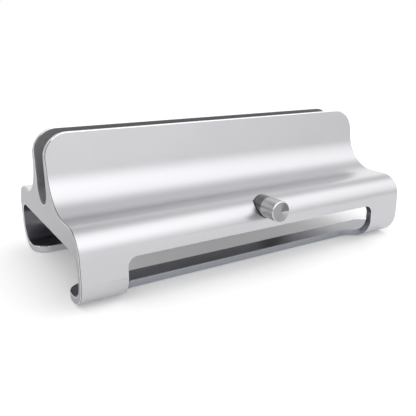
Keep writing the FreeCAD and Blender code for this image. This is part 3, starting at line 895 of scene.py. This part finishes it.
zinc = zinc_plate()
pins_low, pins_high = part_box("guide_pins")
pin_profile = [
    (pins_low.y, 0.0, 0.0),
    (pins_low.y, PIN_RADIUS, 0.0),
    (pins_high.y, PIN_RADIUS, 0.0),
    (pins_high.y, 0.0, 0.0),
]
pin = turned("pin", "XZ", (0, guide_z), pin_profile, SMALL_ROUND)
pins = copies("jaw_pins", pin, [(side * guide_x, 0, 0) for side in SIDES], zinc)
finish_off(pins, "jaw", ["guide_pins"], PIN_EDGE, zinc)

nut_outline = rounded(rectangle(tab_low.x, tab_high.x, tab_low.z, tab_high.z))
nut = prism("nut_block", "XZ", nut_outline, tab_low.y, tab_high.y)
nut_holes = [round_bar("nut_bore", RUNNING_RADIUS, tab_low.y - PAST, tab_high.y + PAST, 0, screw_z)]
nut_holes += [nut_screw_blank(side * NUT_SCREW_X, MM) for side in SIDES]
carve(nut, nut_holes)
finish_off(nut, "jaw", ["jaw_nut"], NUT_EDGE, brass())

nut_screw = nut_screw_blank(0)
opening = circle(0, screw_z, NUT_SCREW_SOCKET, HEXAGON)
opening_floor = jaw_plate_low.y + NUT_SCREW_SOCKET_DEPTH
carve(nut_screw, [prism("opening", "XZ", opening, jaw_plate_low.y - PAST, opening_floor)])
nut_screws = copies("nut_screws", nut_screw, [(side * NUT_SCREW_X, 0, 0) for side in SIDES], zinc)
finish_off(nut_screws, "jaw", ["jaw_nut_screws"], NUT_SCREW_EDGE, zinc)

# --- Lead screw ----------------------------------------------------------------------------------
# A turned steel screw with a left-hand M5 x 0.8 thread where the nut runs, a groove for its clip
# and a thinner journal at the rear end. Zinc plated. It passes through the front bush from the knob.

PITCH = 0.8 * MM
THREAD_DEPTH = 0.42 * MM
JOURNAL_RADIUS = 2.0 * MM
JOURNAL_LENGTH = 9.0 * MM
GROOVE_DEPTH = 0.5 * MM
GROOVE_CLEARANCE = 0.05 * MM
SHOULDER = 1.2 * MM
ROWS_A_TURN = 6
SHAFT_SIDES = 36
CLIP_RING_EDGE = 0.06 * MM

shaft_low, shaft_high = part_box("lead_screw")
clip_low, clip_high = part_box("retaining_clip")
shaft_radius = shaft_high.x
thread_start = clip_high.y + SHOULDER
thread_stop = shaft_high.y - JOURNAL_LENGTH


def cut_thread_tree():
    """Geometry nodes that press a helical groove in a round bar that lies along Y."""
    sizes = dict.fromkeys(("Axis height", "Pitch", "Depth", "Start", "Stop"), "Float")
    inputs = {"Bar": "Geometry", **sizes, "Material": "Material"}
    graph, given = geometry_graph("cut_thread", inputs, "Threaded")
    bar, height, pitch, depth, start, stop, material = given
    x, y, z = graph.split(graph.node("GeometryNodeInputPosition"))
    rise = z - height
    turn = graph.maths("ARCTAN2", rise, x) * (1.0 / math.tau)
    phase = graph.maths("DIVIDE", y, pitch) - turn
    valley = graph.maths("PINGPONG", phase, 0.5) * 2.0
    within = graph.maths("MULTIPLY", y > start, stop > y)
    out = graph.node("ShaderNodeCombineXYZ", {}, {"X": x, "Z": rise})
    unit = graph.node("ShaderNodeVectorMath", {"operation": "NORMALIZE"}, {0: out})
    inward = valley * depth * within * -1.0
    moved = graph.node("ShaderNodeVectorMath", {"operation": "SCALE"}, {0: unit, "Scale": inward})
    cut = graph.node("GeometryNodeSetPosition", {}, {"Geometry": bar, "Offset": moved})
    return end_graph(graph, cut, material)


rows = round((thread_stop - thread_start) / PITCH * ROWS_A_TURN)
spacing = (thread_stop - thread_start) / rows
groove_floor = shaft_radius - GROOVE_DEPTH
groove_start, groove_stop = clip_low.y - GROOVE_CLEARANCE, clip_high.y + GROOVE_CLEARANCE
shaft_profile = [
    (shaft_low.y, 0.0, 0.0),
    (shaft_low.y, shaft_radius, 0.0),
    (groove_start, shaft_radius, 0.0),
    (groove_start, groove_floor, 0.0),
    (groove_stop, groove_floor, 0.0),
    (groove_stop, shaft_radius, 0.0),
]
shaft_profile += [(thread_start + spacing * k, shaft_radius, 0.0) for k in range(rows + 1)]
shaft_profile += [
    (thread_stop, JOURNAL_RADIUS, 0.0),
    (shaft_high.y, JOURNAL_RADIUS, 0.0),
    (shaft_high.y, 0.0, 0.0),
]
shaft = turned("screw_shaft", "XZ", screw_axis, shaft_profile, SHAFT_SIDES)
thread = {"Axis height": screw_z, "Pitch": PITCH, "Depth": THREAD_DEPTH}
add_nodes(shaft, cut_thread_tree(), Start=thread_start, Stop=thread_stop, Material=zinc, **thread)
settle(shaft)
finish_off(shaft, "screw", ["lead_screw"], SMALL_EDGE, zinc)

washer_profile = ring(washer_high.x, WASHER_HOLE, washer_low.y, washer_high.y)
washer = turned("clip_ring", "XZ", screw_axis, washer_profile)
finish_off(washer, "stand", ["clip_washer"], CLIP_RING_EDGE, nylon)

# --- Retaining clip ------------------------------------------------------------------------------
# A clip stamped from spring steel, blued by its heat treatment. It is pushed up on the screw's
# groove from below, turns with the screw, and keeps it from being pulled out by the knob.

CLIP_MOUTH = 3.0 * MM
CLIP_EDGE = 0.08 * MM


def spring_steel():
    """Dark blued spring steel with a straw tint in places."""
    finish = Finish("blued_spring_steel", Metallic=1.0)
    heat = finish.noise(2.0 * MM, 3.0)
    finish.set(Base_Color=finish.mix(heat, (0.10, 0.12, 0.17), (0.20, 0.17, 0.14)))
    finish.set(Roughness=0.28 + heat * 0.12)
    finish.bump(finish.noise(0.3 * MM), 0.006 * MM, 0.5)
    return finish.material


clip = round_bar("spring_clip", clip_high.x, clip_low.y, clip_high.y, 0, screw_z)
mouth = (-CLIP_MOUTH / 2, clip_low.y - MM, clip_low.z - MM), (CLIP_MOUTH / 2, clip_high.y + MM, screw_z)
hollow = round_bar("hollow", groove_floor, clip_low.y - MM, clip_high.y + MM, 0, screw_z)
carve(clip, [hollow, box_bar("mouth", *mouth)])
finish_off(clip, "screw", ["retaining_clip"], CLIP_EDGE, spring_steel())

# --- Knob ----------------------------------------------------------------------------------------
# Turned from aluminium bar and anodised. Its end face keeps the fine rings of the facing cut, and
# its rim has a bright chamfer. It is pushed on the lead screw and pinned by a grub screw.

KNOB_CHAMFER = 0.5 * MM
KNOB_EDGE = 0.08 * MM
KNOB_SIDES = 96
RIM_FACING = (0.3, 0.95)
GRUB_RADIUS = 1.5 * MM
FACING_STEP = 0.22 * MM
FACING_TILT = 0.38
SIDE_TILT = 0.22
SHADE_FAN_EDGE = math.radians(110)
HIGHLIGHT_FAN_EDGE = math.radians(-75)
SEAT_SHADE_START = 10.8 * MM
SEAT_SHADE_FADE = 1.6 * MM


def turned_aluminium():
    """Turned and anodised bar. The lathe's fine rings tilt the surface: outwards and back on the end
    face, and along the axis on the side. The end face has a fan of painted shade and a fan of painted
    highlight, and the side has a band of painted shade next to the seat."""
    finish = Finish("turned_aluminium", Metallic=1.0)
    centred = finish.node("ShaderNodeMapping", {}, {0: finish.place, 1: (0, 0, -screw_z), 3: (1, 0, 1)})
    away = finish.node("ShaderNodeVectorMath", {"operation": "LENGTH"}, {0: centred}, "Value")
    outwards = finish.node("ShaderNodeVectorMath", {"operation": "NORMALIZE"}, {0: centred})
    rings = finish.maths("SINE", away * (math.tau / FACING_STEP), 0.0) * FACING_TILT
    marks = (finish.noise(1.0, 2.0, finish.stretched((6.0, 4000.0, 6.0))) - 0.5) * SIDE_TILT
    facing_cut = finish.node("ShaderNodeVectorMath", {"operation": "SCALE"}, {0: outwards, "Scale": rings})
    side_cut = finish.node("ShaderNodeVectorMath", {"operation": "SCALE"}, {0: (0, 1, 0), "Scale": marks})
    tilt = finish.node("ShaderNodeVectorMath", {}, {0: facing_cut, 1: side_cut})
    flat = finish.node("ShaderNodeTexCoord", output="Normal")
    cut = finish.node("ShaderNodeVectorMath", {}, {0: flat, 1: tilt})
    settings = {"vector_type": "NORMAL", "convert_from": "OBJECT", "convert_to": "WORLD"}
    finish.set(Normal=finish.node("ShaderNodeVectorTransform", settings, {0: cut}))
    cloud = finish.noise(5.0 * MM)
    side = finish.mix(cloud, (0.38, 0.38, 0.385), (0.46, 0.46, 0.465))
    x, _, z = finish.split(centred)
    along = finish.split(finish.place)[1]
    angle = finish.maths("ARCTAN2", z, x)
    # a fan of painted shade and a fan of painted highlight on the end face
    painted_shade_fan = finish.between(angle, SHADE_FAN_EDGE, SHADE_FAN_EDGE / 3) * (angle > 0.0)
    painted_highlight_fan = finish.between(angle, HIGHLIGHT_FAN_EDGE, 0.0) * (0.0 < angle * -1.0)
    face = finish.mix(painted_shade_fan, (0.30, 0.30, 0.31), (0.16, 0.16, 0.165))
    face = finish.mix(painted_highlight_fan, face, (0.44, 0.44, 0.45))
    # a band of painted shade on the side, next to the seat
    shade = finish.between(along, knob_low.y + SEAT_SHADE_START, knob_low.y + SEAT_SHADE_START + SEAT_SHADE_FADE)
    side = finish.mix(shade, side, (0.13, 0.13, 0.135))
    on_side = along > knob_low.y + KNOB_CHAMFER / 2
    finish.set(Base_Color=finish.mix(on_side, face, side))
    finish.set(Roughness=0.20 + cloud * 0.06)
    return finish.material


def cut_rim():
    """The knob's rim, chamfered after anodising to bare metal, and brighter as a painted highlight."""
    finish = Finish("cut_rim", Metallic=1.0)
    marks = finish.noise(0.4 * MM)
    finish.set(Base_Color=finish.mix(marks, (0.50, 0.50, 0.51), (0.60, 0.60, 0.61)))
    finish.set(Roughness=0.20 + marks * 0.10)
    return finish.material


grub_low, grub_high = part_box("knob_grub_screw")
grub_y = (grub_low.y + grub_high.y) / 2
knob_profile = [
    (knob_low.y, 0.0, 0.0),
    (knob_low.y, knob_radius - KNOB_CHAMFER, 0.0),
    (knob_low.y + KNOB_CHAMFER, knob_radius, 0.0),
    (knob_high.y, knob_radius, 0.0),
    (knob_high.y, shaft_radius, 0.0),
    (shaft_low.y, shaft_radius, 0.0),
    (shaft_low.y, 0.0, 0.0),
]
knob = turned("turned_knob", "XZ", screw_axis, knob_profile, KNOB_SIDES)
coat(knob, turned_aluminium(), cut_rim())
grub_outline = circle(0, grub_y, GRUB_RADIUS)
carve(knob, [prism("grub_hole", "XY", grub_outline, screw_z - knob_radius - PAST, screw_z - MM)])
finish_off(knob, "screw", ["knob"], KNOB_EDGE, rubbed=True)
# the rim's chamfer faces take the brighter rim finish, a painted highlight
least, most = RIM_FACING
for face in knob.data.polygons:
    if least < -face.normal.y < most:
        face.material_index = RUBBED_HIGHLIGHT


def black_oxide():
    """Blackened steel of small socket screws, oiled."""
    finish = Finish("black_oxide_steel", Metallic=1.0)
    mottle = finish.noise(0.8 * MM, 3.0)
    finish.set(Base_Color=finish.mix(mottle, (0.045, 0.045, 0.050), (0.085, 0.082, 0.080)))
    finish.set(Roughness=0.30 + mottle * 0.15)
    finish.bump(mottle, 0.01 * MM, 0.4)
    return finish.material


SOCKET_DEPTH = 1.2 * MM
BLACK_SCREW_EDGE = 0.1 * MM
oxide = black_oxide()
grub = prism("grub_screw", "XY", circle(0, grub_y, GRUB_RADIUS, SMALL_ROUND), grub_low.z, grub_high.z)
opening = circle(0, grub_y, GRUB_RADIUS / 2, HEXAGON)
socket = prism("socket", "XY", opening, grub_low.z - MM, grub_low.z + SOCKET_DEPTH)
carve(grub, [socket, round_bar("flank", shaft_radius, grub_y - PAST, grub_y + PAST, 0, screw_z)])
finish_off(grub, "screw", ["knob_grub_screw"], BLACK_SCREW_EDGE, oxide)

# --- Pocket cover --------------------------------------------------------------------------------
# A small plate of powder-coated steel under the middle of the stand. It closes the pocket of the nut,
# and two button-like socket screws hold it.

COVER_CORNER = 3.0 * MM
COVER_HOLE = 1.6 * MM
HEAD_ROUND = 0.45 * MM
COVER_EDGE = 0.25 * MM
COVER_SCREW_SIDES = 48

cover_places = [(side * cover_screw_x, cover_middle, 0) for side in SIDES]

cover_outline = rectangle(cover_low.x, cover_high.x, cover_low.y, cover_high.y, COVER_CORNER)
cover = prism("nut_cover", "XY", rounded(cover_outline), cover_low.z, cover_high.z)
carve(cover, [prism("hole", "XY", circle(x, y, COVER_HOLE), 0, stand_top) for x, y, _ in cover_places])
finish_off(cover, "stand", ["pocket_cover"], COVER_EDGE, black_coat)

cover_screw_profile = [
    (cover_screws_low.z, 0.0, 0.0),
    (cover_screws_low.z, head_radius, HEAD_ROUND),
    (cover_low.z, head_radius, 0.0),
    (cover_low.z, COVER_SCREW, 0.0),
    (cover_screws_high.z, COVER_SCREW, 0.0),
    (cover_screws_high.z, 0.0, 0.0),
]
cover_screw = turned("cover_screw", "XY", (0, 0), cover_screw_profile, COVER_SCREW_SIDES)
socket_top = cover_screws_low.z + SOCKET_DEPTH
opening = circle(0, 0, head_radius / 2, HEXAGON)
carve(cover_screw, [prism("socket", "XY", opening, cover_screws_low.z - MM, socket_top)])
button_screws = copies("cover_screw_pair", cover_screw, cover_places, oxide)
finish_off(button_screws, "stand", ["cover_screws"], BLACK_SCREW_EDGE, oxide)

# --- Desk, light and camera ----------------------------------------------------------------------
# A plain white desk in a room that is its own soft light: a wide strip and a soft panel at the front, a
# pale ceiling, panels at the left and the back, and a shaded left side. Where the room is looked at
# directly, it is plain white. The camera stands at the front left, a little above the stand.

DESK_HALF = 6.0
DESK_DROP = 0.05 * MM
DESK_GLOW = 0.20
ROOM = 0.62
CEILING = 0.35
CEILING_START, CEILING_FULL = 0.3, 0.8
CEILING_BACK = math.radians(135), math.radians(95)
STRIP_LIGHT = 0.85
STRIP_RISE = math.radians(-4), math.radians(42)
STRIP_FALL = math.radians(104), math.radians(70)
PLAIN_WHITE = 1.0
PANELS = {
    "front": ((-0.05, -1.0, 0.0), 65.0, 10.0, 0.43),
    "left": ((-0.60, -0.10, 0.79), 45.0, 30.0, 0.40),
    "back": ((0.50, 0.86, 0.0), 60.0, 30.0, 0.75),
    "left shade": ((-1.0, 0.0, 0.15), 75.0, 30.0, -0.45),
}
CAMERA_PLACE = Vector((-180.28, -291.19, 124.27)) * MM
CAMERA_YAW = 0.5457
CAMERA_DIP = 0.2895
CAMERA_ROLL = -0.0042
CAMERA_LENS = 44.37
CAMERA_NEAR = 10.0 * MM


def desk_white():
    finish = Finish("desk_white")
    cloud = finish.noise(0.25)
    finish.set(Base_Color=finish.mix(cloud, (0.71, 0.71, 0.71), (0.73, 0.73, 0.73)))
    finish.set(Roughness=0.62 + cloud * 0.05)
    finish.set(Emission_Color=(1.0, 1.0, 1.0), Emission_Strength=DESK_GLOW)
    return finish.material


desk_mesh = bpy.data.meshes.new("desk")
desk_corners = [(x, y, -DESK_DROP) for x, y in ((-1, -1), (1, -1), (1, 1), (-1, 1))]
desk_mesh.from_pydata([(x * DESK_HALF, y * DESK_HALF, z) for x, y, z in desk_corners], [], [(0, 1, 2, 3)])
desk = new_piece("desk", desk_mesh)
desk_mesh.materials.append(desk_white())

scene = bpy.context.scene
scene.world = bpy.data.worlds.new("room")
scene.world.use_nodes = True
room = Graph(scene.world.node_tree)
look = room.node("ShaderNodeTexCoord", output="Generated")


def panel(direction, wide, full, radiance):
    """A soft-edged round panel: full within one angle of its direction, faded out at the wider one.
    A negative radiance takes light away."""
    inputs = {0: look, 1: direction}
    towards = room.node("ShaderNodeVectorMath", {"operation": "DOT_PRODUCT"}, inputs, "Value")
    return room.between(towards, math.cos(math.radians(wide)), math.cos(math.radians(full)), radiance)


_, towards_back, upwards = room.split(look)
climb = room.maths("ARCTAN2", upwards, towards_back * -1.0)
strip = room.between(climb, *STRIP_RISE) * room.between(climb, *STRIP_FALL)
ceiling = room.between(upwards, CEILING_START, CEILING_FULL) * room.between(climb, *CEILING_BACK)
light = ROOM + strip * STRIP_LIGHT + ceiling * CEILING
for direction, wide, full, radiance in PANELS.values():
    light = light + panel(Vector(direction), wide, full, radiance)
seen = room.node("ShaderNodeLightPath", output="Is Camera Ray")
light = light + seen * (PLAIN_WHITE - light)
backdrop = room.tree.nodes["Background"]
room.feed(backdrop.inputs["Color"], (1.0, 1.0, 1.0))
room.feed(backdrop.inputs["Strength"], light)
scene.view_settings.view_transform = "Standard"

ahead = Vector((math.sin(CAMERA_YAW), math.cos(CAMERA_YAW), 0)) * math.cos(CAMERA_DIP)
ahead.z = -math.sin(CAMERA_DIP)
level = Vector((math.cos(CAMERA_YAW), -math.sin(CAMERA_YAW), 0))
above = level.cross(ahead)
right = level * math.cos(CAMERA_ROLL) + above * math.sin(CAMERA_ROLL)
top = above * math.cos(CAMERA_ROLL) - level * math.sin(CAMERA_ROLL)
camera = new_piece("camera", bpy.data.cameras.new("camera"))
camera.data.lens = CAMERA_LENS
camera.data.clip_start = CAMERA_NEAR
camera.matrix_world = Matrix.Translation(CAMERA_PLACE) @ Matrix((right, top, -ahead)).transposed().to_4x4()
scene.camera = camera
